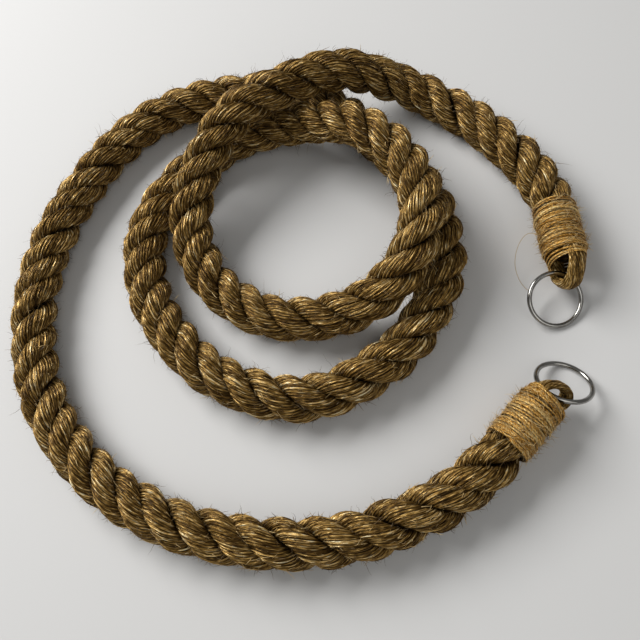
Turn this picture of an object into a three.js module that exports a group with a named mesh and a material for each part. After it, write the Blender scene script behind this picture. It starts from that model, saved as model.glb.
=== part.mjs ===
// A thick three-strand barrier rope lying loose on a flat surface, with a twine whipping,
// an eye and a steel ring at each end.
// Millimetres, +Z up. The origin is on the surface under the middle of the whole rope.
import * as THREE from 'three';

// Driving dimensions
const ROPE_DIAMETER = 28;
const ROPE_SIDES = 12;
const ROPE_STEPS = 80;
const ROPE_LENGTH_DIVISIONS = 2000;
const WHIPPING_DIAMETER = 32;
const WHIPPING_SIDES = 24;
const CLEARANCE = 0.45;
const EYE_THICKNESS = 5;
const EYE_WIDTH = 10;
const EYE_SIDES = 12;
const EYE_STEPS = 26;
const EYE_ROOT_DEPTHS = [11, 6, 1];
const EYE_TURN_LIMIT = 67.5;
const EYE_TURN_STEP = 22.5;
const RING_INNER_DIAMETER = 30;
const RING_WIRE = 3;
const RING_STEPS = 64;
const WIRE_SIDES = 12;

const ropeRadius = ROPE_DIAMETER / 2;
const ringRadius = (RING_INNER_DIAMETER + RING_WIRE) / 2;

// The rope's centre line, from end B to end A: once round clockwise in a wide loop, then
// round again inside it and over itself, and out to end A.
const ROUTE = [
  [141, -100, 16], [127, -115, 16], [102, -137, 14.3], [46, -162, 14], [-27, -164, 14],
  [-97, -139, 14], [-152, -86, 14], [-176.5, -12, 14], [-165.5, 68, 14], [-113, 145, 14],
  [-48, 165, 14], [13, 155, 14], [60, 110, 14], [94, 58, 14], [99, -4, 14],
  [67, -56, 14], [10, -82.5, 14], [-50, -62, 14], [-91, -14, 14], [-103, 39, 14],
  [-81, 89, 14.2], [-35, 122, 15.5], [9, 121, 24.5], [51, 98, 44], [81, 62, 45],
  [87, 17, 44], [67, -17, 33], [28, -30, 19], [-16, -25, 14.8], [-50, 0, 15],
  [-68, 37, 21], [-60, 78, 36], [-36, 114, 48], [3, 138, 48], [42, 153, 40],
  [85, 150.5, 19], [129, 118, 14.6], [158, 81, 15], [172.9, 45, 16], [174.65, 20, 16],
];

// Each end of the rope. The whipping runs from inner to face. The eye is a loop of one
// strand that leaves the face and comes back to it: roll is the slope of its two legs,
// spread half the distance between them, reach how far it stands out, and bend its turn
// towards the ring. The ring stands on the surface, tilted towards the compass bearing lean.
const ENDS = {
  a: {
    inner: [173.2, 40.8], face: [175.9, 2.2], roll: 59.7, spread: 9.9, reach: 17.9, bend: -6.7,
    ring: [167.0, -22.4], tilt: 25.2, lean: 296.9,
  },
  b: {
    inner: [125.8, -116.3], face: [151.9, -88.4], roll: 51.7, spread: 9.7, reach: 11.8, bend: -24.2,
    ring: [164.2, -77.3], tilt: 30.6, lean: 63.4,
  },
};

const FIBRE = { color: 0x8a6a3a, roughness: 0.85, metalness: 0 };
const TWINE = { color: 0xa88348, roughness: 0.75, metalness: 0 };
const STEEL = { color: 0x9a9a98, roughness: 0.22, metalness: 1 };

// A centre line whose cross-sections keep their first axis pointing down, so that a flat
// side of the tube lies on the surface all along.
class LevelCurve extends THREE.CatmullRomCurve3 {
  computeFrenetFrames(segments) {
    const down = new THREE.Vector3(0, 0, -1);
    const frames = { tangents: [], normals: [], binormals: [] };
    for (let i = 0; i <= segments; i++) {
      const tangent = this.getTangentAt(i / segments);
      const binormal = new THREE.Vector3().crossVectors(tangent, down).normalize();
      const normal = new THREE.Vector3().crossVectors(binormal, tangent);
      frames.tangents.push(tangent);
      frames.normals.push(normal);
      frames.binormals.push(binormal);
    }
    return frames;
  }
}

// A centre line in a plane or near it, whose cross-sections keep one fixed width direction.
class FlatStrandCurve extends THREE.CatmullRomCurve3 {
  constructor(points, width) {
    super(points);
    this.width = width;
  }

  computeFrenetFrames(segments) {
    const frames = { tangents: [], normals: [], binormals: [] };
    for (let i = 0; i <= segments; i++) {
      const tangent = this.getTangentAt(i / segments);
      const normal = new THREE.Vector3().crossVectors(this.width, tangent).normalize();
      const binormal = new THREE.Vector3().crossVectors(tangent, normal);
      frames.tangents.push(tangent);
      frames.normals.push(normal);
      frames.binormals.push(binormal);
    }
    return frames;
  }
}

// An upright polygon of the given number of sides, with a flat side across its first axis.
// The half-thickness and half-width are to the flat sides.
function section(halfThickness, halfWidth, sides) {
  const corner = 1 / Math.cos(Math.PI / sides);
  const points = [];
  for (let i = 0; i < sides; i++) {
    const angle = (i + 0.5) * 2 * Math.PI / sides;
    const x = halfThickness * corner * Math.cos(angle);
    const y = halfWidth * corner * Math.sin(angle);
    points.push(new THREE.Vector2(x, y));
  }
  return new THREE.Shape(points);
}

function mesh(name, geometry, finish) {
  const piece = new THREE.Mesh(geometry, new THREE.MeshStandardMaterial(finish));
  piece.name = name;
  return piece;
}

function makeRope() {
  const centreLine = new LevelCurve(ROUTE.map((point) => new THREE.Vector3(...point)));
  centreLine.arcLengthDivisions = ROPE_LENGTH_DIVISIONS;
  const geometry = new THREE.ExtrudeGeometry(section(ropeRadius, ropeRadius, ROPE_SIDES), {
    steps: ROPE_STEPS,
    extrudePath: centreLine,
  });
  return mesh('rope', geometry, FIBRE);
}

// One end's whipping from inner to face, and its directions: out along the rope's axis,
// side level across it, and legs from one leg of the eye to the other.
function endFrame(end) {
  const inner = new THREE.Vector3(...end.inner, WHIPPING_DIAMETER / 2);
  const face = new THREE.Vector3(...end.face, WHIPPING_DIAMETER / 2);
  const up = new THREE.Vector3(0, 0, 1);
  const out = new THREE.Vector3().subVectors(face, inner).normalize();
  const side = new THREE.Vector3().crossVectors(up, out);
  const roll = THREE.MathUtils.degToRad(end.roll);
  const legs = side.clone().multiplyScalar(Math.cos(roll)).addScaledVector(up, Math.sin(roll));
  const length = face.distanceTo(inner);
  return { inner, face, out, side, legs, length };
}

// A hollow sleeve for the turns of twine, round the end of the rope and the eye's two legs.
function makeWhipping(key) {
  const { inner, out, length } = endFrame(ENDS[key]);
  const flatToCorner = 1 / Math.cos(Math.PI / WHIPPING_SIDES);
  const outer = WHIPPING_DIAMETER / 2 * flatToCorner;
  const bore = (ropeRadius / Math.cos(Math.PI / ROPE_SIDES) + CLEARANCE) * flatToCorner;
  const profile = [
    new THREE.Vector2(bore, 0),
    new THREE.Vector2(outer, 0),
    new THREE.Vector2(outer, length),
    new THREE.Vector2(bore, length),
    new THREE.Vector2(bore, 0),
  ];
  const halfSide = Math.PI / WHIPPING_SIDES;
  const geometry = new THREE.LatheGeometry(profile, WHIPPING_SIDES, halfSide);
  const piece = mesh(`whipping_${key}`, geometry, TWINE);
  const down = new THREE.Vector3(0, 0, -1);
  const across = new THREE.Vector3().crossVectors(out, down);
  piece.quaternion.setFromRotationMatrix(new THREE.Matrix4().makeBasis(across, out, down));
  piece.position.copy(inner);
  return piece;
}

// The eye: a flattened strand from inside the whipping, out round half an ellipse and back.
function makeEye(key) {
  const end = ENDS[key];
  const { face, out, side, legs } = endFrame(end);
  const bend = THREE.MathUtils.degToRad(end.bend);
  const bent = out.clone().multiplyScalar(Math.cos(bend)).addScaledVector(side, Math.sin(bend));
  const root = (depth, sign) => face.clone()
    .addScaledVector(out, -depth)
    .addScaledVector(legs, sign * end.spread);
  const points = EYE_ROOT_DEPTHS.map((depth) => root(depth, 1));
  for (let degrees = EYE_TURN_LIMIT; degrees >= -EYE_TURN_LIMIT; degrees -= EYE_TURN_STEP) {
    const angle = THREE.MathUtils.degToRad(degrees);
    const point = face.clone()
      .addScaledVector(bent, end.reach * Math.cos(angle))
      .addScaledVector(legs, end.spread * Math.sin(angle));
    points.push(point);
  }
  points.push(...EYE_ROOT_DEPTHS.map((depth) => root(depth, -1)).reverse());
  const width = new THREE.Vector3().crossVectors(out, legs);
  const geometry = new THREE.ExtrudeGeometry(section(EYE_THICKNESS / 2, EYE_WIDTH / 2, EYE_SIDES), {
    steps: EYE_STEPS,
    extrudePath: new FlatStrandCurve(points, width),
  });
  return mesh(`eye_${key}`, geometry, FIBRE);
}

// A closed ring of round wire, resting on the surface on its low side.
function makeRing(key) {
  const end = ENDS[key];
  const wireRadius = RING_WIRE / 2;
  const geometry = new THREE.TorusGeometry(ringRadius, wireRadius, WIRE_SIDES, RING_STEPS);
  const piece = mesh(`ring_${key}`, geometry, STEEL);
  const tilt = THREE.MathUtils.degToRad(end.tilt);
  const lean = THREE.MathUtils.degToRad(end.lean);
  piece.position.set(...end.ring, wireRadius + ringRadius * Math.sin(tilt));
  const normal = new THREE.Vector3(
    Math.sin(tilt) * Math.cos(lean),
    Math.sin(tilt) * Math.sin(lean),
    Math.cos(tilt),
  );
  piece.quaternion.setFromUnitVectors(new THREE.Vector3(0, 0, 1), normal);
  return piece;
}

const barrierRope = new THREE.Group();
barrierRope.add(makeRope());
for (const key of Object.keys(ENDS)) {
  barrierRope.add(makeWhipping(key), makeEye(key), makeRing(key));
}

export default barrierRope;
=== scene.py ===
"""A three-strand barrier rope lying in loose loops. Each end is whipped with twine round an
eye, and the eye holds a steel ring. Metres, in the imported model's frame."""
import math

import bpy
import numpy as np
from mathutils import Matrix, Vector


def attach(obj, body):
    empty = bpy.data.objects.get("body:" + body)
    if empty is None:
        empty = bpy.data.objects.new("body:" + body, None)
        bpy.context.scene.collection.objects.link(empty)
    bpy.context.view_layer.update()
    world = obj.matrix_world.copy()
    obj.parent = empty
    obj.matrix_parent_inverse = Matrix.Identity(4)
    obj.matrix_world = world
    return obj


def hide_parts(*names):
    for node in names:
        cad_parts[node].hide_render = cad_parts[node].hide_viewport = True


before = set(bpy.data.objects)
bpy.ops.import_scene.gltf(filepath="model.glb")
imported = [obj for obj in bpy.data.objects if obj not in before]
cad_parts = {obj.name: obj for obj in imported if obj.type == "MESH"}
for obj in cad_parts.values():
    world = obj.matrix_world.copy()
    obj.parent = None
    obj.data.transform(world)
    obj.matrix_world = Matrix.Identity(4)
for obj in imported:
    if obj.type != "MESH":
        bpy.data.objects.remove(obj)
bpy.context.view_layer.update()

MM = 0.001

# ---------------------------------------------------------------- driving values, in metres

ROPE_RADIUS = 14 * MM
LAY_LENGTH = 62 * MM            # along the rope, for one full turn of the strands
STRANDS = 3
STRAND_OFFSET = 7.6 * MM
STRAND_RADIUS = 6.1 * MM        # to the valleys between the yarns
YARNS = 20                      # outer yarns round each strand
YARN_POINTS = 6                 # mesh points across one yarn
YARN_CROWN = 0.8 * MM           # height of a yarn above the valleys beside it
YARN_TURN = -225.0              # radians of yarn twist per metre of rope
YARN_WANDER = 0.22              # how far a yarn strays sideways, in yarns
YARN_LIFT = 0.24 * MM           # how far it rises and sinks within a centimetre or so
YARN_SWELL = 0.16 * MM          # and over a longer stretch
YARN_STRAY = 0.55 * MM          # how far a slack yarn stands out
YARN_SLACK = 1.9                # how rare slack yarns are, in deviations of the noise
FIBRE_RELIEF = 0.13 * MM        # roughness of the yarns' surface
STRAND_WIDTH = 59.2             # degrees round the rope, each way from a strand's middle
STRAND_WOBBLE = 0.07            # radians that a strand strays round the rope
STRAND_DRIFT = 0.012            # share by which its distance from the rope's middle varies
STRAND_SWELL = 0.02             # share by which its thickness varies
TEXTURE_SHIFT = 60 * MM         # from one strand's texture to the next one's
CORE_RADIUS = 0.5 * MM          # of the gap in the middle of the rope
LEAST_RADIUS = 0.6 * MM         # at which a point's turn round the rope is still measured
ROPE_STEP = 1.5 * MM
ROPE_SQUEEZE = 0.21             # how much thinner the rope is inside its whippings
SQUEEZE_LEAD = 9 * MM           # how far ahead of a whipping it starts to thin
SQUEEZE_LENGTH = 13 * MM
TIP_SIZE = 0.72                 # of the full thickness, at the rope's rounded tips
TIP_LENGTH = 9 * MM
TIP_DEPTH = 3 * MM              # from a whipping's face back to the rope's tip
FLOOR_GAP = 0.05 * MM
END_REACH = 70 * MM             # round a whipping's face, what belongs to that end

WHIPPING_RADIUS = 12.6 * MM     # to the middle of the twine
TWINE_RADIUS = 0.80 * MM
TWINE_PITCH = 1.6 * MM
CROSSING_TURNS = 11
TWINE_TURN_POINTS = 64          # mesh points along one turn of the whipping
CAP_LENGTH = {"a": 4.0 * MM, "b": 1.3 * MM}     # how far the turns run on past the face

EYE_THICKNESS = 5 * MM
EYE_WIDTH = 10 * MM
EYE_ROOTS = (11 * MM, 6 * MM, 1 * MM)           # points of its legs, behind the whipping's face
EYE_TURN = 67.5                 # degrees each way that its round end is given for
EYE_TURN_POINTS = 7
EYE_YARNS = 18
EYE_CROWN = 0.45 * MM
EYE_YARN_TURN = -55.0           # radians of yarn twist per metre of strand
EYE_INSIDE = 0.95               # thickness of its inner half, of the even strand's

RING_WIRE = 1.5 * MM
RING_RADIUS = 16.5 * MM
RING_STEPS = 192
RING_SIDES = 24
WELD_PLACE = 2.2                # radians round the ring, from its low side
WELD_HEIGHT = 0.16 * MM
WELD_REACH = 0.8 * MM
SEAM_DEPTH = 0.14 * MM
SEAM_REACH = 0.18 * MM

CAMERA_AZIMUTH = 16             # degrees round to the right from the front
CAMERA_TILT = 26                # degrees off straight down
CAMERA_LENS = 38.81             # on a sensor 36 mm wide
CAMERA_PLACE = Vector((73.0, -215.0, 408.7)) * MM

# The rope's centre line, from end B to end A, as in the CAD model.
ROUTE = np.array([
    (141, -100, 16), (127, -115, 16), (102, -137, 14.3), (46, -162, 14), (-27, -164, 14),
    (-97, -139, 14), (-152, -86, 14), (-176.5, -12, 14), (-165.5, 68, 14), (-113, 145, 14),
    (-48, 165, 14), (13, 155, 14), (60, 110, 14), (94, 58, 14), (99, -4, 14),
    (67, -56, 14), (10, -82.5, 14), (-50, -62, 14), (-91, -14, 14), (-103, 39, 14),
    (-81, 89, 14.2), (-35, 122, 15.5), (9, 121, 24.5), (51, 98, 44), (81, 62, 45),
    (87, 17, 44), (67, -17, 33), (28, -30, 19), (-16, -25, 14.8), (-50, 0, 15),
    (-68, 37, 21), (-60, 78, 36), (-36, 114, 48), (3, 138, 48), (42, 153, 40),
    (85, 150.5, 19), (129, 118, 14.6), (158, 81, 15), (172.9, 45, 16), (174.65, 20, 16),
]) * MM

# Each end, in millimetres and degrees: the whipping runs from inner to face; roll, spread,
# reach and bend shape the eye, and tilt and lean turn the ring, as in the CAD model. Fat and
# breadth are how thick the outer half of the eye's strand is and how broad the strand is, both
# as shares of the CAD model's. Both whippings lie with their axis at END_HEIGHT.
END_HEIGHT = 16.0
ENDS = {
    "a": dict(inner=(173.2, 40.8), face=(175.9, 2.2), roll=59.7, spread=9.9, reach=17.9,
              bend=-6.7, ring=(167.0, -22.4), tilt=25.2, lean=296.9, fat=1.35, breadth=1.2),
    "b": dict(inner=(125.8, -116.3), face=(151.9, -88.4), roll=51.7, spread=9.7, reach=11.8,
              bend=-24.2, ring=(164.2, -77.3), tilt=30.6, lean=63.4, fat=0.85, breadth=0.85),
}

UP = np.array([0.0, 0.0, 1.0])
rng = np.random.default_rng(7)


# ---------------------------------------------------------------- camera

def make_camera():
    """Looks down at the rope from the front, a little from the right."""
    azimuth, tilt = math.radians(CAMERA_AZIMUTH), math.radians(CAMERA_TILT)
    forward = Vector((-math.sin(tilt) * math.sin(azimuth),
                      math.sin(tilt) * math.cos(azimuth),
                      -math.cos(tilt)))
    right = forward.cross(Vector((0, 1, 0))).normalized()
    up = right.cross(forward)
    data = bpy.data.cameras.new("camera")
    data.sensor_width = 36
    data.lens = CAMERA_LENS
    camera = bpy.data.objects.new("camera", data)
    bpy.context.collection.objects.link(camera)
    turn = Matrix((right, up, -forward)).transposed().to_4x4()
    camera.matrix_world = Matrix.Translation(CAMERA_PLACE) @ turn
    bpy.context.scene.camera = camera
    bpy.context.scene.view_settings.view_transform = "Standard"


make_camera()


# ---------------------------------------------------------------- curves and frames

def unit(v):
    """The same vectors, each of length 1."""
    return v / np.linalg.norm(v, axis=-1, keepdims=True)


SEGMENT_POINTS = 24             # of a curve, from one given point to the next


def catmull_rom(points):
    """A centripetal Catmull-Rom curve through the points."""
    points = np.asarray(points, float)
    first = 2 * points[0] - points[1]
    last = 2 * points[-1] - points[-2]
    padded = np.vstack([first, points, last])
    t = np.linspace(0, 1, SEGMENT_POINTS, endpoint=False)[:, None]
    pieces = []
    for p0, p1, p2, p3 in zip(padded, padded[1:], padded[2:], padded[3:]):
        d0, d1, d2 = (math.sqrt(np.linalg.norm(b - a)) for a, b in ((p0, p1), (p1, p2), (p2, p3)))
        m1 = ((p1 - p0) / d0 - (p2 - p0) / (d0 + d1) + (p2 - p1) / d1) * d1
        m2 = ((p2 - p1) / d1 - (p3 - p1) / (d1 + d2) + (p3 - p2) / d2) * d1
        pieces.append(p1 + m1 * t + (-3 * p1 + 3 * p2 - 2 * m1 - m2) * t ** 2
                      + (2 * p1 - 2 * p2 + m1 + m2) * t ** 3)
    return np.vstack(pieces + [points[-1:]])


def respaced(line, step):
    """The same line with evenly spaced points, and how far along it each one is."""
    along = np.concatenate([[0], np.cumsum(np.linalg.norm(np.diff(line, axis=0), axis=1))])
    at = np.linspace(0, along[-1], int(round(along[-1] / step)) + 1)
    return np.stack([np.interp(at, along, line[:, k]) for k in range(3)], axis=1), at


def bell_reach(sigma):
    """How many samples a bell needs on each side."""
    return int(4 * sigma) + 1


def blurred(values, sigma):
    """Values blurred along axis 0 by a bell, which costs its reach at either end."""
    reach = bell_reach(sigma)
    bell = np.exp(-0.5 * (np.arange(-reach, reach + 1) / sigma) ** 2)
    bell /= bell.sum()
    return np.apply_along_axis(lambda v: np.convolve(v, bell, "valid"), 0, values)


def smoothed(line, sigma):
    """The line blurred along its length, with its ends where they were."""
    reach = bell_reach(sigma)
    padded = np.pad(line, [(reach, reach), (0, 0)], mode="reflect", reflect_type="odd")
    return blurred(padded, sigma)


def noise(count, columns, sigma):
    """Columns of random values of unit deviation, smooth over about sigma samples."""
    raw = rng.normal(size=(count + 2 * bell_reach(sigma), columns))
    values = blurred(raw, sigma)
    return values / values.std()


def moving_frame(line):
    """Tangents, and two normals carried along without twist."""
    tangent = unit(np.gradient(line, axis=0))
    normal = np.empty_like(line)
    normal[0] = unit(UP - tangent[0] * tangent[0].dot(UP))
    for i in range(1, len(line)):
        carried = normal[i - 1] - tangent[i] * tangent[i].dot(normal[i - 1])
        normal[i] = carried / np.linalg.norm(carried)
    return tangent, normal, np.cross(tangent, normal)


def smoothstep(x):
    """Rises smoothly from 0 to 1 as x does."""
    x = np.clip(x, 0, 1)
    return x * x * (3 - 2 * x)


def between(low, high, share):
    return low + (high - low) * share


def end_frame(key):
    """One end's whipping from inner to face, and its directions: out along the rope's axis,
    side level across it, and legs from one leg of the eye to the other."""
    end = ENDS[key]
    inner = np.array([*end["inner"], END_HEIGHT]) * MM
    face = np.array([*end["face"], END_HEIGHT]) * MM
    out = unit(face - inner)
    side = np.cross(UP, out)
    roll = math.radians(end["roll"])
    legs = side * math.cos(roll) + UP * math.sin(roll)
    return dict(inner=inner, face=face, out=out, side=side, legs=legs)


# ---------------------------------------------------------------- meshes

class Builder:
    """Gathers tubes into one mesh. Each point has a shade, 0 deep in the grooves, where painted
    shade darkens the colour, and 1 on a crown, and a tone that varies from yarn to yarn; the
    texture coordinates run across and along the fibres, in millimetres."""

    def __init__(self):
        self.points, self.faces, self.caps = [], [], []
        self.shade, self.tone, self.uv = [], [], []
        self.count = 0

    def tubes(self, grid, shade, tone, across, along):
        """Adds closed tubes. Grid is (tubes, rings, around, 3), and the other values fit
        (tubes, rings, around)."""
        size = grid.shape[:3]
        tubes, rings, around = size
        self.points.append(grid.reshape(-1, 3))
        self.shade.append(np.broadcast_to(shade, size).reshape(-1))
        self.tone.append(np.broadcast_to(tone, size).reshape(-1))
        n, i, j = np.meshgrid(range(tubes), range(rings - 1), range(around), indexing="ij")
        first = self.count + (n * rings + i) * around
        corners = [(0, 0), (0, 1), (1, 1), (1, 0)]
        quads = [first + di * around + (j + dj) % around for di, dj in corners]
        self.faces.append(np.stack(quads, axis=-1).reshape(-1, 4))
        across = np.broadcast_to(across, size)
        along = np.broadcast_to(along, size)
        whole = (across[..., -1:] - across[..., :1]) * around / (around - 1)
        uv = []
        for di, dj in corners:
            wrap = np.where(j + dj == around, np.broadcast_to(whole, size)[n, i + di, j], 0)
            uv.append(np.stack([across[n, i + di, (j + dj) % around] + wrap,
                                along[n, i + di, (j + dj) % around]], axis=-1))
        self.uv.append(np.stack(uv, axis=3).reshape(-1, 2))
        loop = np.arange(around)
        starts = self.count + np.arange(tubes)[:, None] * rings * around
        self.caps.append(starts + loop[::-1])
        self.caps.append(starts + (rings - 1) * around + loop)
        self.count += tubes * rings * around

    def object(self, name, material):
        """Turns everything gathered into one object of that name."""
        groups = self.faces + self.caps
        loops = np.concatenate([group.reshape(-1) for group in groups])
        sizes = np.concatenate([np.full(len(group), group.shape[1]) for group in groups])
        starts = np.concatenate([[0], np.cumsum(sizes)[:-1]])
        points = np.vstack(self.points)
        mesh = bpy.data.meshes.new(name)
        mesh.vertices.add(len(points))
        mesh.vertices.foreach_set("co", points.astype(np.float32).ravel())
        mesh.loops.add(len(loops))
        mesh.loops.foreach_set("vertex_index", loops.astype(np.int32))
        mesh.polygons.add(len(sizes))
        mesh.polygons.foreach_set("loop_start", starts.astype(np.int32))
        mesh.polygons.foreach_set("loop_total", sizes.astype(np.int32))
        mesh.polygons.foreach_set("use_smooth", np.ones(len(sizes), bool))
        mesh.update(calc_edges=True)
        uv = np.zeros((len(loops), 2))
        sides_uv = np.vstack(self.uv) / MM
        uv[:len(sides_uv)] = sides_uv
        mesh.uv_layers.new(name="fibre").data.foreach_set("uv", uv.astype(np.float32).ravel())
        for key, values in (("shade", self.shade), ("tone", self.tone)):
            layer = mesh.attributes.new(key, "FLOAT", "POINT")
            layer.data.foreach_set("value", np.concatenate(values).astype(np.float32))
        mesh.validate()
        return add_object(name, mesh, material)


def add_object(name, mesh, material):
    obj = bpy.data.objects.new(name, mesh)
    bpy.context.collection.objects.link(obj)
    mesh.materials.append(material)
    return obj


def yarn_tones(count, columns, sigma):
    """Tones for that many yarns, drifting along each one."""
    return np.clip(0.5 + 0.24 * noise(count, columns, sigma), 0, 1)


# ---------------------------------------------------------------- materials

class Shader:
    """A material's nodes, made by short calls."""

    def __init__(self, name):
        self.material = bpy.data.materials.new(name)
        self.material.use_nodes = True
        self.tree = self.material.node_tree
        self.surface = self.tree.nodes["Principled BSDF"]

    def node(self, kind, inputs=None, **settings):
        made = self.tree.nodes.new("ShaderNode" + kind)
        for key, value in settings.items():
            setattr(made, key, value)
        for key, value in (inputs or {}).items():
            self.put(made.inputs[key], value)
        return made

    def put(self, socket, value):
        if isinstance(value, bpy.types.NodeSocket):
            self.tree.links.new(value, socket)
        else:
            socket.default_value = value

    def set(self, **values):
        for key, value in values.items():
            self.put(self.surface.inputs[key.replace("_", " ")], value)

    def maths(self, operation, a, b=0.0, clamp=False):
        return self.node("Math", {0: a, 1: b}, operation=operation, use_clamp=clamp).outputs[0]

    def attribute(self, name):
        return self.node("Attribute", attribute_name=name).outputs["Fac"]

    def fibre_noise(self, across, along, detail, distortion=0.0):
        """Noise stretched along the fibres; across and along are its grain in millimetres."""
        uv = self.node("UVMap", uv_map="fibre").outputs[0]
        scale = (1 / across, 1 / along, 1)
        place = self.node("Mapping", {"Vector": uv, "Scale": scale}).outputs[0]
        inputs = {"Vector": place, "Scale": 1.0, "Detail": detail, "Distortion": distortion}
        return self.node("TexNoise", inputs).outputs["Fac"]

    def ramp(self, value, stops):
        made = self.node("ValToRGB", {"Fac": value})
        elements = made.color_ramp.elements
        while len(elements) < len(stops):
            elements.new(0.5)
        for element, (place, colour) in zip(elements, stops):
            element.position = place
            element.color = (*colour, 1)
        return made.outputs["Color"]

    def mix(self, factor, a, b):
        made = self.node("Mix", data_type="RGBA")
        self.put(made.inputs[0], factor)
        self.put(made.inputs[6], a)
        self.put(made.inputs[7], b)
        return made.outputs[2]


METAL_SHARE = 0.5               # gives the fibres coloured, silky highlights
FIBRE_GLOSS = 0.35              # specular level
FIBRE_TINT = (1.0, 0.80, 0.50, 1)


def fibre_material(name, stops, groove_shade, roughness, bump, middle, streaks):
    """Plant fibre: coloured by yarn and by single fibres, with painted shade that darkens it in the
    grooves, silky on the crowns. A higher middle makes it darker, and streaks is how strong its
    short marks are."""
    shader = Shader(name)
    tone = shader.attribute("tone")
    fibres = shader.fibre_noise(across=0.5, along=6.0, detail=3.0, distortion=0.4)
    flecks = shader.fibre_noise(across=0.7, along=2.8, detail=2.0, distortion=0.45)
    patches = shader.fibre_noise(across=5.0, along=22.0, detail=2.0)
    value = -middle
    for part, weight in ((tone, 0.4), (fibres, 1.3), (flecks, streaks), (patches, 0.5)):
        value = shader.maths("ADD", value, shader.maths("MULTIPLY", part, weight))
    colour = shader.ramp(shader.maths("ADD", value, clamp=True), stops)
    # Painted shade: where the shade attribute is low, in the grooves, the colour is mixed towards
    # the dark groove colour
    depth = shader.maths("POWER", shader.attribute("shade"), 1.15)
    height = shader.maths("ADD", fibres, shader.maths("MULTIPLY", flecks, 0.6))
    relief = shader.node("Bump", {"Height": height, "Strength": bump, "Distance": 1.2 * MM})
    rough = shader.maths("ADD", shader.maths("MULTIPLY", fibres, 0.35), roughness - 0.17)
    shader.set(Base_Color=shader.mix(depth, (*groove_shade, 1), colour), Roughness=rough,
               Normal=relief.outputs[0])
    shader.surface.inputs["Metallic"].default_value = METAL_SHARE
    shader.surface.inputs["Specular IOR Level"].default_value = FIBRE_GLOSS
    shader.surface.inputs["Specular Tint"].default_value = FIBRE_TINT
    return shader.material


# Colours from the darkest fibres to the brightest.
ROPE_STOPS = [(0.0, (0.020, 0.009, 0.001)), (0.30, (0.105, 0.052, 0.010)),
              (0.55, (0.33, 0.190, 0.046)), (0.78, (0.85, 0.56, 0.20)), (1.0, (1.0, 0.92, 0.62))]
TWINE_STOPS = [(0.0, (0.10, 0.036, 0.003)), (0.28, (0.36, 0.165, 0.022)),
               (0.56, (0.82, 0.45, 0.10)), (1.0, (1.0, 0.86, 0.44))]
LOOSE_STOPS = [(0.0, (0.035, 0.020, 0.007)), (0.55, (0.20, 0.12, 0.04)),
               (1.0, (0.85, 0.62, 0.28))]


def make_materials():
    # The dark groove colours are painted shade for the grooves between yarns and strands
    rope = fibre_material("rope_fibre", ROPE_STOPS, groove_shade=(0.012, 0.005, 0.001), roughness=0.38,
                          bump=0.8, middle=1.49, streaks=1.7)
    twine = fibre_material("twine", TWINE_STOPS, groove_shade=(0.035, 0.013, 0.002), roughness=0.33,
                           bump=0.6, middle=1.23, streaks=1.3)
    loose = Shader("loose_fibre")
    loose.set(Base_Color=loose.ramp(loose.attribute("tone"), LOOSE_STOPS))
    loose.surface.inputs["Roughness"].default_value = 0.45
    return rope, twine, loose.material


rope_fibre, twine, loose_fibre = make_materials()


# ---------------------------------------------------------------- rope

def rope_line():
    """The centre line at even steps, run on to just inside each whipping's face."""
    tips = {}
    for key in ENDS:
        here = end_frame(key)
        tips[key] = here["face"] - here["out"] * TIP_DEPTH
    points = np.vstack([tips["b"], ROUTE, tips["a"]])
    line, _ = respaced(catmull_rom(points), ROPE_STEP)
    return respaced(smoothed(line, 5), ROPE_STEP)


def rope_tightness(line, at):
    """The rope's thickness along its length: it is drawn in under the whippings, and its tips
    are rounded."""
    tight = np.ones(len(line))
    for key in ENDS:
        here = end_frame(key)
        inside = (line - here["inner"]) @ here["out"]
        near = np.linalg.norm(line - here["face"], axis=1) < END_REACH
        squeeze = smoothstep((inside + SQUEEZE_LEAD) / SQUEEZE_LENGTH) * near
        tight = np.minimum(tight, 1 - ROPE_SQUEEZE * squeeze)
    from_tip = np.minimum(at, at[-1] - at)
    return tight * (TIP_SIZE + (1 - TIP_SIZE) * np.sqrt(smoothstep(from_tip / TIP_LENGTH)))


def yarn_places(count, yarns, wander, sigma):
    """For each mesh point round a strand, at that many places along it: where it lies, counted
    in yarns, which yarn it is on, and how near it is to that yarn's crown."""
    u = np.tile(np.arange(YARN_POINTS) / YARN_POINTS, yarns)
    yarn = np.repeat(np.arange(yarns), YARN_POINTS)
    crown = np.sin(math.pi * u) ** 0.7
    start = np.arange(yarns) + wander * noise(count, yarns, sigma)
    end = np.roll(start, -1, axis=1)
    end[:, -1] += yarns
    return start[:, yarn] * (1 - u) + end[:, yarn] * u, yarn, crown


def kept_in_third(a, b, offset):
    """Draws a strand's points in, so that it stays inside its own third of the rope. The walls
    between the thirds wind with the strands, so what counts is how far round the rope a point
    is from the strand's middle at the same place along it."""
    slope = np.arctan(2 * math.pi * offset / LAY_LENGTH)
    most = math.radians(STRAND_WIDTH)
    for _ in range(3):
        turned = np.arctan2(b * np.cos(slope), np.maximum(offset + a, LEAST_RADIUS))
        turned = turned + 2 * math.pi / LAY_LENGTH * b * np.sin(slope)
        b = np.where(np.abs(turned) > most, b * most / np.maximum(np.abs(turned), 1e-9), b)
    return np.maximum(a, CORE_RADIUS - offset), b


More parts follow.
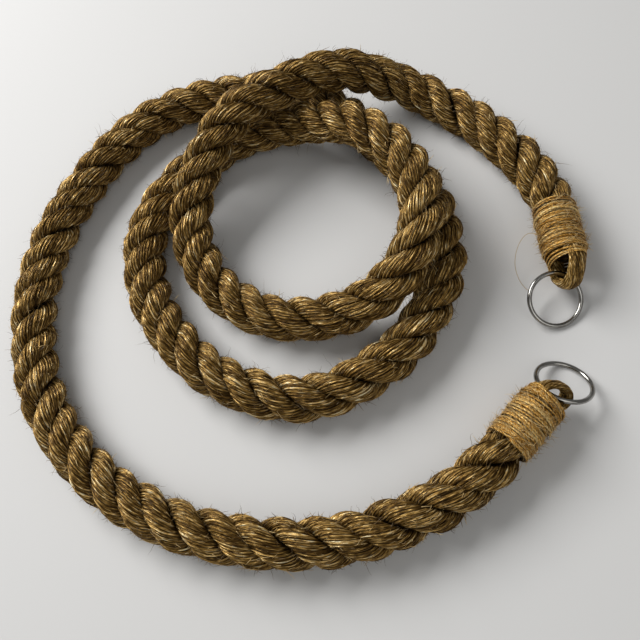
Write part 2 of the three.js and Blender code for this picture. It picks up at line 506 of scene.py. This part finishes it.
def strand_surface(line, at, frames, k, tight):
    """One strand: yarns laid round it, pressed flat against the other strands. Gives what
    Builder.tubes takes."""
    _, normal, binormal = frames
    n = len(line)
    wobble = STRAND_WOBBLE * noise(n, 1, 45)[:, 0]
    phase = 2 * math.pi * (at / LAY_LENGTH + k / STRANDS) + wobble
    outward = np.cos(phase)[:, None] * normal + np.sin(phase)[:, None] * binormal
    offset = STRAND_OFFSET * tight * (1 + STRAND_DRIFT * noise(n, 1, 30)[:, 0])
    centre = line + offset[:, None] * outward
    heading = unit(np.gradient(centre, axis=0))
    outward = unit(outward - heading * (outward * heading).sum(1, keepdims=True))
    side = np.cross(heading, outward)

    place, yarn, crown = yarn_places(n, YARNS, YARN_WANDER, 14)
    angle = 2 * math.pi * place / YARNS + YARN_TURN * at[:, None]
    lift = YARN_LIFT * noise(n, YARNS, 7) + YARN_SWELL * noise(n, YARNS, 28)
    stray = YARN_STRAY * np.maximum(noise(n, YARNS, 12) - YARN_SLACK, 0)
    body = STRAND_RADIUS * tight * (1 + STRAND_SWELL * noise(n, 1, 24)[:, 0])
    fibres = FIBRE_RELIEF * noise(n, len(yarn), 1.2)
    raised = YARN_CROWN + (lift + stray)[:, yarn]
    radius = body[:, None] + raised * crown + fibres * tight[:, None]
    a, b = kept_in_third(radius * np.cos(angle), radius * np.sin(angle), offset[:, None])

    grid = (centre[:, None] + a[..., None] * outward[:, None] + b[..., None] * side[:, None])
    grid[..., 2] = np.maximum(grid[..., 2], FLOOR_GAP)
    # Painted shade: darker in the valleys between the yarns and on the side that faces into the
    # rope, where the strands press together
    open_side = np.clip((a / STRAND_RADIUS + 0.25) / 0.75, 0, 1)
    shade = between(0.12, 1, crown ** 1.6) * between(0.25, 1, open_side)
    tone = yarn_tones(n, YARNS, 40)[:, yarn]
    across = 2 * math.pi * STRAND_RADIUS * place / YARNS + k * TEXTURE_SHIFT
    return grid, shade, tone, across, at[:, None]


def make_rope():
    """The three strands as one piece. Also gives the centre line, how far along it each point
    is, and the points of each strand."""
    line, at = rope_line()
    frames = moving_frame(line)
    tight = rope_tightness(line, at)
    made = Builder()
    surfaces = []
    for k in range(STRANDS):
        surface = strand_surface(line, at, frames, k, tight)
        made.tubes(*(values[None] for values in surface))
        surfaces.append(surface[0])
    rope = made.object("twisted_rope", rope_fibre)
    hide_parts("rope")
    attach(rope, "rope")
    return rope, line, at, surfaces


rope, centre_line, rope_at, strand_surfaces = make_rope()


# ---------------------------------------------------------------- loose fibres

FIBRE_KNOTS = 7
FIBRE_SIDES = 3
FIBRE_HEIGHT = 0.25 * MM        # the least above the floor
ROOT_LIFT = 0.05 * MM           # off the surface that a fibre grows from
ASKEW = np.array([0.31, 0.52, 0.80])            # a direction that few fibres share
PRESSED_SHARE = 0.72            # of the rope's radius, inside which strands press together


def add_fibres(made, roots, headings, lengths, thickness, curl, tones):
    """Adds short fibres that leave their roots along the headings and wander."""
    count = len(roots)
    t = np.linspace(0, 1, FIBRE_KNOTS)
    wander = np.cumsum(rng.normal(size=(count, FIBRE_KNOTS, 3)), axis=1) * curl
    wander -= wander[:, :1]
    turned = unit(headings[:, None] + wander)
    step = turned * (lengths / (FIBRE_KNOTS - 1))[:, None, None]
    line = roots[:, None] + np.cumsum(step, axis=1) - step[:, :1]
    line[..., 2] = np.maximum(line[..., 2], FIBRE_HEIGHT)
    tangent = unit(np.gradient(line, axis=1))
    first = unit(np.cross(tangent, ASKEW))
    second = np.cross(tangent, first)
    angle = 2 * math.pi * np.arange(FIBRE_SIDES) / FIBRE_SIDES
    taper = 1.05 - 0.85 * t ** 2
    radius = thickness[:, None, None, None] * taper[None, :, None, None]
    rim = (np.cos(angle)[:, None] * first[:, :, None] + np.sin(angle)[:, None] * second[:, :, None])
    grid = line[:, :, None] + radius * rim
    tone = rng.uniform(*tones, (count, 1, 1))
    along = (lengths[:, None] * t[None])[..., None]
    made.tubes(grid, 1.0, tone, radius[..., 0] * angle, along)


def surface_roots(grid, count):
    """Random places on a tube of points, with their outward and lengthwise directions."""
    rings, around = grid.shape[:2]
    i = rng.integers(2, rings - 2, count)
    j = rng.integers(0, around, count)
    along = unit(grid[i + 1, j] - grid[i - 1, j])
    across = grid[i, (j + 2) % around] - grid[i, j - 2]
    outward = unit(np.cross(across, along))
    return grid[i, j], outward, along


# How many fibres each kind of tuft has per strand or twine, how steeply they rise, their
# shortest and longest length and their radius in millimetres, their curl and their tones.
# The first kind lies on the surface, the second stands off it and the third curls away.
ROPE_TUFTS = [
    (5200, 0.12, 2, 7, 0.17, 0.12, (0.35, 1.0)),
    (7000, 1.0, 1.5, 5.5, 0.14, 0.34, (0, 0.6)),
    (600, 1.4, 5, 12, 0.12, 0.36, (0, 0.5)),
]
TWINE_TUFTS = [
    (1200, 0.15, 3, 8, 0.14, 0.12, (0.5, 1.0)),
    (420, 0.8, 1.5, 4.5, 0.12, 0.32, (0.4, 1.0)),
    (60, 1.2, 4, 9, 0.11, 0.40, (0.3, 0.95)),
]


def add_tufts(made, grid, tufts, bare):
    """Fibres all over a surface, leaving out the roots for which bare is true."""
    for count, rise, low, high, thick, curl, tones in tufts:
        roots, outward, along = surface_roots(grid, count)
        keep = ~bare(roots)
        roots, outward, along = roots[keep], outward[keep], along[keep]
        along = along * rng.choice([-1, 1], (len(along), 1))
        heading = along + outward * rise * rng.uniform(0.4, 1.4, (len(along), 1))
        heading = unit(heading + 0.35 * rng.normal(size=heading.shape))
        lengths = rng.uniform(low, high, len(roots)) * MM
        thickness = rng.uniform(0.6, 1.3, len(roots)) * thick * MM
        add_fibres(made, roots + outward * ROOT_LIFT, heading, lengths, thickness, curl, tones)


# One long fibre has sprung out of whipping A and curls down to its ring, in millimetres.
LONG_CURL = np.array([
    (161, 18, 20), (154, 20, 19), (148.5, 15, 15), (145.5, 5, 10), (147, -3, 5), (150, -9, 3),
    (153, -13, 3.5),
]) * MM
LONG_CURL_RADIUS = 0.17 * MM
LONG_CURL_SIDES = 5
LONG_CURL_TONE = 0.72


def add_long_curl(made):
    line, at = respaced(catmull_rom(LONG_CURL), 0.8 * MM)
    _, normal, binormal = moving_frame(line)
    angle = 2 * math.pi * np.arange(LONG_CURL_SIDES) / LONG_CURL_SIDES
    rim = np.cos(angle)[:, None] * normal[:, None] + np.sin(angle)[:, None] * binormal[:, None]
    grid = line[:, None] + LONG_CURL_RADIUS * rim
    made.tubes(grid[None], 1.0, LONG_CURL_TONE, LONG_CURL_RADIUS * angle, at[None, :, None])


def inside_rope(roots):
    """True where the strands press against each other."""
    gaps = np.linalg.norm(roots[:, None] - centre_line[None, ::4], axis=2)
    return gaps.min(1) < ROPE_RADIUS * PRESSED_SHARE


def make_rope_fuzz():
    made = Builder()
    for surface in strand_surfaces:
        add_tufts(made, surface, ROPE_TUFTS, inside_rope)
    piece = made.object("rope_fuzz", loose_fibre)
    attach(piece, "rope")
    return piece


WORN_LENGTH = 3 * MM            # of each whipping, behind its face


def worn_off(roots):
    """True on a whipping's last turns, where the ring rubs the hairs away as it swings."""
    worn = np.zeros(len(roots), bool)
    for key in ENDS:
        here = end_frame(key)
        near = np.linalg.norm(roots - here["face"], axis=1) < END_REACH
        worn |= near & ((roots - here["face"]) @ here["out"] > -WORN_LENGTH)
    return worn


def make_twine_fuzz():
    made = Builder()
    for grid in twine_surfaces:
        share = len(grid) / len(twine_surfaces[0])
        tufts = [(int(count * share), *shape) for count, *shape in TWINE_TUFTS]
        add_tufts(made, grid, tufts, worn_off)
    add_long_curl(made)
    piece = made.object("twine_fuzz", loose_fibre)
    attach(piece, "rope")
    return piece


# ---------------------------------------------------------------- whippings

EYE_SHOULDER = 3.2              # millimetres from the middle of a leg to its outer side
CLOSING_LEAD = 4 * MM           # how far behind the face the turns start to close in


def turn_point(key, depth, angle, lift):
    """Points on a whipping, that far behind its face, at that angle round it and that far above
    its turns. Past the face the turns close in on the eye's two legs."""
    here = end_frame(key)
    roll = math.radians(ENDS[key]["roll"])
    from_legs = angle - math.atan2(-math.cos(roll), math.sin(roll))
    wide = (ENDS[key]["spread"] + EYE_SHOULDER) * MM + TWINE_RADIUS
    narrow = EYE_WIDTH / 2 * ENDS[key]["breadth"] + 2 * TWINE_RADIUS
    waist = wide * narrow / np.hypot(narrow * np.cos(from_legs), wide * np.sin(from_legs))
    closing = smoothstep((CLOSING_LEAD - depth) / (CLOSING_LEAD + 1.6 * CAP_LENGTH[key]))
    radius = WHIPPING_RADIUS * (1 - closing) + waist * closing + lift
    outward = np.cos(angle)[..., None] * UP - np.sin(angle)[..., None] * here["side"]
    point = here["face"] - here["out"] * depth[..., None] + outward * radius[..., None]
    return point, outward


TWINE_PLIES = 2
PLY_PITCH = 4.2 * MM
TWINE_SIDES = 12


def twine_tube(made, line, outward, radius):
    """Adds a twine of twisted plies along a line, with painted shade on the sides away from outward
    and in the grooves between its plies.
    """
    _, normal, binormal = moving_frame(line)
    at = np.concatenate([[0], np.cumsum(np.linalg.norm(np.diff(line, axis=0), axis=1))])
    angle = 2 * math.pi * np.arange(TWINE_SIDES) / TWINE_SIDES
    twist = 2 * math.pi * at / PLY_PITCH + noise(len(line), 1, 30)[:, 0]
    lobes = np.abs(np.cos(TWINE_PLIES / 2 * (angle[None] - twist[:, None])))
    thick = radius * (1 + 0.10 * noise(len(line), 1, 12)[:, 0])
    reach = thick[:, None] * between(0.80, 1.04, lobes)
    rim = np.cos(angle)[:, None] * normal[:, None] + np.sin(angle)[:, None] * binormal[:, None]
    grid = line[:, None] + reach[..., None] * rim
    grid[..., 2] = np.maximum(grid[..., 2], FLOOR_GAP)
    facing = (unit(grid - line[:, None]) * outward[:, None]).sum(2)
    # Painted shade: darker in the grooves between the plies and on the sides away from outward,
    # between neighbouring turns
    shade = between(0.45, 1, lobes) * smoothstep((facing + 0.05) / 0.9)
    tone = yarn_tones(len(line), 1, 25)
    across = radius * (angle[None] - 0.7 * twist[:, None])
    made.tubes(grid[None], shade[None], tone[None], across[None], at[None, :, None])
    return grid


twine_surfaces = []


def add_winding(made, key, length):
    """The tight turns of one twine, from the inner end of a whipping to past its face."""
    turns = (length + CAP_LENGTH[key]) / TWINE_PITCH
    steps = int(turns * TWINE_TURN_POINTS)
    t = np.linspace(0, 1, steps)
    angle = 2 * math.pi * turns * t
    slant = 0.55 * MM * noise(steps, 1, 60)[:, 0] + 0.6 * MM * np.sin(angle + 0.8)
    depth = (length - 1.2 * MM) * (1 - t) - (CAP_LENGTH[key] - 1 * MM) * t + slant
    lift = 0.24 * MM * noise(steps, 1, 14)[:, 0]
    line, outward = turn_point(key, depth, angle, lift)
    return twine_tube(made, line, outward, TWINE_RADIUS)


def add_crossing_turn(made, key, length, index):
    """A turn or two laid slantwise over the others, with its ends tucked under."""
    middle = length * (0.04 + 0.9 * (index + rng.uniform(0.1, 0.9)) / CROSSING_TURNS)
    lean = rng.uniform(-3.6, 3.6) * MM
    start = rng.uniform(0, 2 * math.pi)
    sweep = rng.uniform(0.8, 1.9) * 2 * math.pi
    steps = int(sweep * 12)
    t = np.linspace(0, 1, steps)
    angle = start + sweep * t
    drift = TWINE_PITCH * sweep / (2 * math.pi) * (t - 0.5)
    depth = np.clip(middle + lean * np.sin(angle - start) + drift, 0.8 * MM, length)
    sunk = 1.2 * MM * (smoothstep((0.06 - t) / 0.06) + smoothstep((t - 0.94) / 0.06))
    lift = 0.85 * MM - sunk + 0.12 * MM * noise(steps, 1, 10)[:, 0]
    line, outward = turn_point(key, depth, angle, lift)
    return twine_tube(made, line, outward, TWINE_RADIUS * rng.uniform(0.7, 1.0))


def make_whipping(key):
    here = end_frame(key)
    length = np.linalg.norm(here["face"] - here["inner"])
    made = Builder()
    twine_surfaces.append(add_winding(made, key, length))
    for index in range(CROSSING_TURNS):
        twine_surfaces.append(add_crossing_turn(made, key, length, index))
    piece = made.object(f"twine_whipping_{key}", twine)
    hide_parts(f"whipping_{key}")
    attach(piece, "rope")
    return piece


# ---------------------------------------------------------------- eyes

def eye_line(key):
    """The eye's centre line, as in the CAD model."""
    end = ENDS[key]
    here = end_frame(key)
    bend = math.radians(end["bend"])
    bent = here["out"] * math.cos(bend) + here["side"] * math.sin(bend)
    spread, reach = end["spread"] * MM, end["reach"] * MM

    def root(depth, sign):
        return here["face"] - here["out"] * depth + here["legs"] * sign * spread

    points = [root(depth, 1) for depth in EYE_ROOTS]
    for degrees in np.linspace(EYE_TURN, -EYE_TURN, EYE_TURN_POINTS):
        angle = math.radians(degrees)
        points.append(here["face"] + bent * reach * math.cos(angle)
                      + here["legs"] * spread * math.sin(angle))
    points += [root(depth, -1) for depth in reversed(EYE_ROOTS)]
    return respaced(catmull_rom(points), 0.8 * MM)


def make_eye(key):
    """A flattened strand of yarns that loops out of the whipping and back."""
    here = end_frame(key)
    line, at = eye_line(key)
    n = len(line)
    width = np.cross(here["out"], here["legs"])
    tangent = unit(np.gradient(line, axis=0))
    outward = unit(np.cross(width[None], tangent))
    side = np.cross(tangent, outward)
    place, yarn, crown = yarn_places(n, EYE_YARNS, 0.25, 10)
    angle = 2 * math.pi * place / EYE_YARNS + EYE_YARN_TURN * at[:, None]
    lift = 0.16 * MM * noise(n, EYE_YARNS, 8) + 0.12 * MM * noise(n, EYE_YARNS, 20)
    rise = (EYE_CROWN + lift[:, yarn]) * crown
    x, y = np.cos(angle), np.sin(angle)
    bulge = np.where(x > 0, ENDS[key]["fat"], EYE_INSIDE)
    half_thick = (EYE_THICKNESS / 2 - EYE_CROWN) * bulge
    half_wide = EYE_WIDTH / 2 * ENDS[key]["breadth"]
    grid = (line[:, None] + ((half_thick + rise) * x)[..., None] * outward[:, None]
            + ((half_wide + rise) * y)[..., None] * side[:, None])
    tone = yarn_tones(n, EYE_YARNS, 30)[:, yarn]
    # Painted shade: darker in the valleys between the eye's yarns
    shade = between(0.3, 1, crown)
    across = math.pi * EYE_WIDTH * place / EYE_YARNS
    made = Builder()
    made.tubes(grid[None], shade, tone[None], across[None], at[None, :, None])
    piece = made.object(f"strand_eye_{key}", rope_fibre)
    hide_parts(f"eye_{key}")
    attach(piece, "rope")
    return piece


# ---------------------------------------------------------------- rings

def steel_material():
    shader = Shader("ring_steel")
    place = shader.node("TexCoord").outputs["Object"]
    wear = shader.node("TexNoise", {"Vector": place, "Scale": 900.0, "Detail": 4.0}).outputs["Fac"]
    marks = shader.node("TexNoise", {"Vector": place, "Scale": 160.0, "Detail": 3.0}).outputs["Fac"]
    colour = shader.ramp(marks, [(0.3, (0.22, 0.21, 0.195)), (0.7, (0.42, 0.41, 0.385))])
    rough = shader.maths("ADD", shader.maths("MULTIPLY", wear, 0.16), 0.07)
    relief = shader.node("Bump", {"Height": wear, "Strength": 0.12, "Distance": 0.1 * MM})
    shader.set(Base_Color=colour, Roughness=rough, Normal=relief.outputs[0])
    shader.surface.inputs["Metallic"].default_value = 1.0
    return shader.material


def make_ring(key, material):
    """A round wire bent into a ring, with a low weld where its ends meet."""
    end = ENDS[key]
    tilt, lean = math.radians(end["tilt"]), math.radians(end["lean"])
    normal = np.array([math.sin(tilt) * math.cos(lean), math.sin(tilt) * math.sin(lean),
                       math.cos(tilt)])
    centre = np.array([*end["ring"], 0]) * MM
    centre[2] = RING_WIRE + RING_RADIUS * math.sin(tilt)
    downhill = unit(np.cross(np.cross(UP, normal), normal))
    across = np.cross(normal, downhill)
    steps, around = RING_STEPS, RING_SIDES
    turn = 2 * math.pi * np.arange(steps) / steps
    angle = 2 * math.pi * np.arange(around) / around
    from_weld = np.abs((turn - WELD_PLACE + math.pi) % (2 * math.pi) - math.pi) * RING_RADIUS
    weld = WELD_HEIGHT * np.exp(-(from_weld / WELD_REACH) ** 2)
    seam = SEAM_DEPTH * np.exp(-(from_weld / SEAM_REACH) ** 2)
    wire = RING_WIRE + weld - seam
    spoke = np.cos(turn)[:, None] * downhill + np.sin(turn)[:, None] * across
    grid = (centre + (RING_RADIUS + wire[:, None] * np.cos(angle))[..., None] * spoke[:, None]
            + (wire[:, None] * np.sin(angle))[..., None] * normal)
    i, j = np.meshgrid(range(steps), range(around), indexing="ij")
    ni, nj = (i + 1) % steps, (j + 1) % around
    faces = np.stack([i * around + j, ni * around + j, ni * around + nj, i * around + nj], -1)
    mesh = bpy.data.meshes.new(f"wire_ring_{key}")
    mesh.from_pydata(grid.reshape(-1, 3).tolist(), [], faces.reshape(-1, 4).tolist())
    mesh.shade_smooth()
    piece = add_object(f"wire_ring_{key}", mesh, material)
    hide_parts(f"ring_{key}")
    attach(piece, f"ring_{key}")
    return piece


steel = steel_material()
rings = [make_ring(key, steel) for key in ENDS]
whippings = [make_whipping(key) for key in ENDS]
eyes = [make_eye(key) for key in ENDS]
fuzz = [make_rope_fuzz(), make_twine_fuzz()]


# ---------------------------------------------------------------- floor and light

FLOOR_HALF = 3.0


def make_floor():
    shader = Shader("floor")
    shader.surface.inputs["Base Color"].default_value = (0.60, 0.60, 0.595, 1)
    shader.surface.inputs["Roughness"].default_value = 0.7
    mesh = bpy.data.meshes.new("floor")
    corners = [(-1, -1), (1, -1), (1, 1), (-1, 1)]
    mesh.from_pydata([(x * FLOOR_HALF, y * FLOOR_HALF, 0) for x, y in corners], [], [(0, 1, 2, 3)])
    add_object("floor", mesh, shader.material)


def make_light(name, place, size, watts, colour):
    """A rectangular light aimed at the middle of the floor."""
    data = bpy.data.lights.new(name, "AREA")
    data.shape = "RECTANGLE"
    data.size, data.size_y = size
    data.energy = watts
    data.color = colour
    light = bpy.data.objects.new(name, data)
    bpy.context.collection.objects.link(light)
    light.location = place
    light.rotation_euler = (-Vector(place)).to_track_quat("-Z", "Y").to_euler()


def make_lights():
    make_light("window", (-1.3, 0.89, 1.36), (1.5, 1.15), 57, (1.0, 0.99, 0.98))
    make_light("fill", (0.5, -0.8, 1.1), (1.2, 1.2), 4.5, (1.0, 0.99, 0.97))
    world = bpy.data.worlds.new("room")
    world.use_nodes = True
    room = world.node_tree.nodes["Background"]
    room.inputs["Color"].default_value = (0.80, 0.80, 0.79, 1)
    room.inputs["Strength"].default_value = 0.25
    bpy.context.scene.world = world


make_floor()
make_lights()
